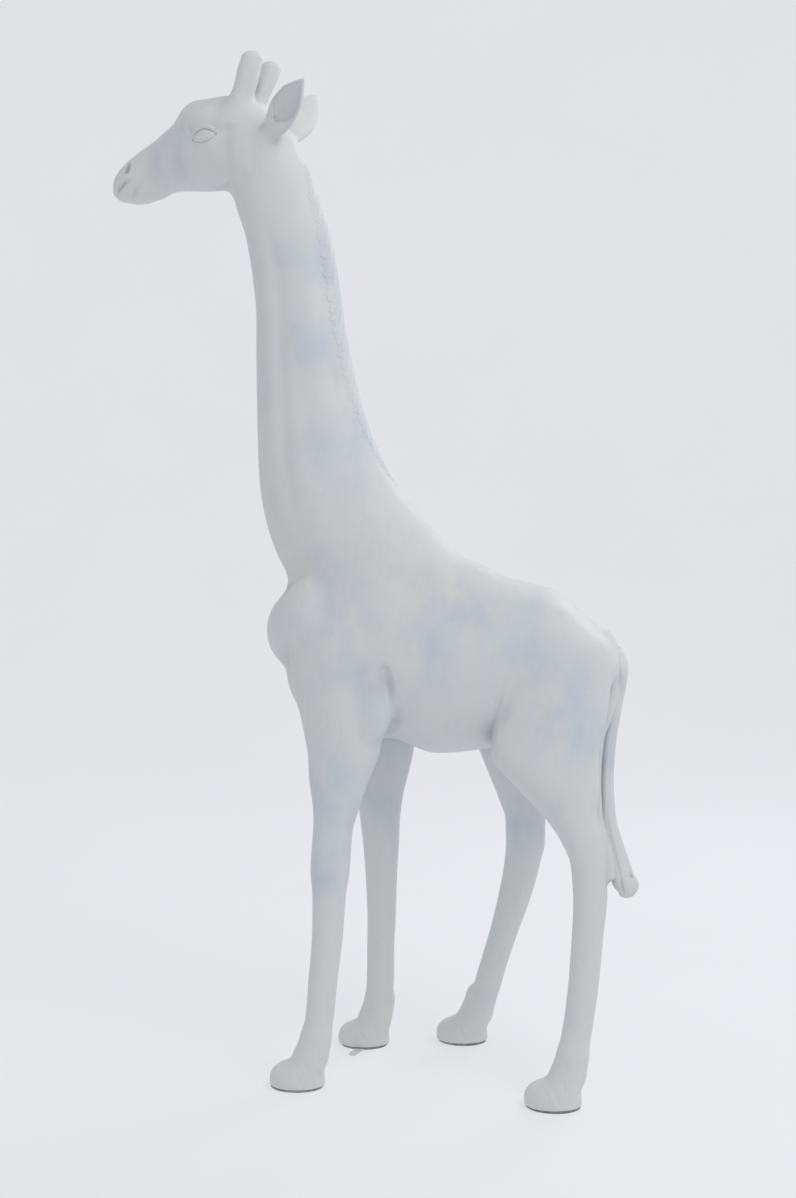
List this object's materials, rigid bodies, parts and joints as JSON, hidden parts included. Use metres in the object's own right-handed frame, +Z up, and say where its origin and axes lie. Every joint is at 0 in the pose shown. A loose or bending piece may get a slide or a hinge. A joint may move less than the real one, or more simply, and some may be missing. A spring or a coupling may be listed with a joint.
{
  "type": "giraffe statue",
  "caption": "Tall standing giraffe statue: hollow white moulded shells on a steel frame, on flat-soled feet, with a floor anchor strap.",
  "frame": {"origin": "on the floor, at the middle of the statue's box", "axes": "+Z up; the head looks towards -X; the statue's own left side is -Y"},
  "size_m": [1.2845, 0.534, 2.409],
  "materials": {
    "skin": "matt white paint over the moulded shell, soft brushed mottling",
    "hair_relief": "matt white paint over combed relief",
    "eye": "same white paint, slightly smoother",
    "sole": "dark, scuffed",
    "strap": "white-coated steel, worn at the edges",
    "screw": "zinc plated",
    "frame_steel": "welded mild steel",
    "former": "plywood"
  },
  "bodies": {
    "root": {"anchor_strap": "strap", "ear_left": "skin", "ear_right": "skin", "eye_left": "eye", "eye_right": "eye", "front_leg_left": "skin", "front_leg_right": "skin", "front_leg_rod_left": "frame_steel", "front_leg_rod_right": "frame_steel", "front_sole_left": "sole", "front_sole_right": "sole", "head_shell_left": "skin", "head_shell_right": "skin", "hip_cross_tube": "frame_steel", "hip_former": "former", "horn_left": "skin", "horn_right": "skin", "lower_neck_former": "former", "mane_strip": "hair_relief", "neck_shell_left": "skin", "neck_shell_right": "skin", "neck_tube": "frame_steel", "rear_leg_left": "skin", "rear_leg_right": "skin", "rear_leg_rod_left": "frame_steel", "rear_leg_rod_right": "frame_steel", "rear_sole_left": "sole", "rear_sole_right": "sole", "shoulder_cross_tube": "frame_steel", "shoulder_former": "former", "spine_tube": "frame_steel", "strap_screws": "screw", "tail": "hair_relief", "tail_wire": "frame_steel", "torso_shell_left": "skin", "torso_shell_right": "skin", "upper_neck_former": "former"}
  },
  "joints": []
}
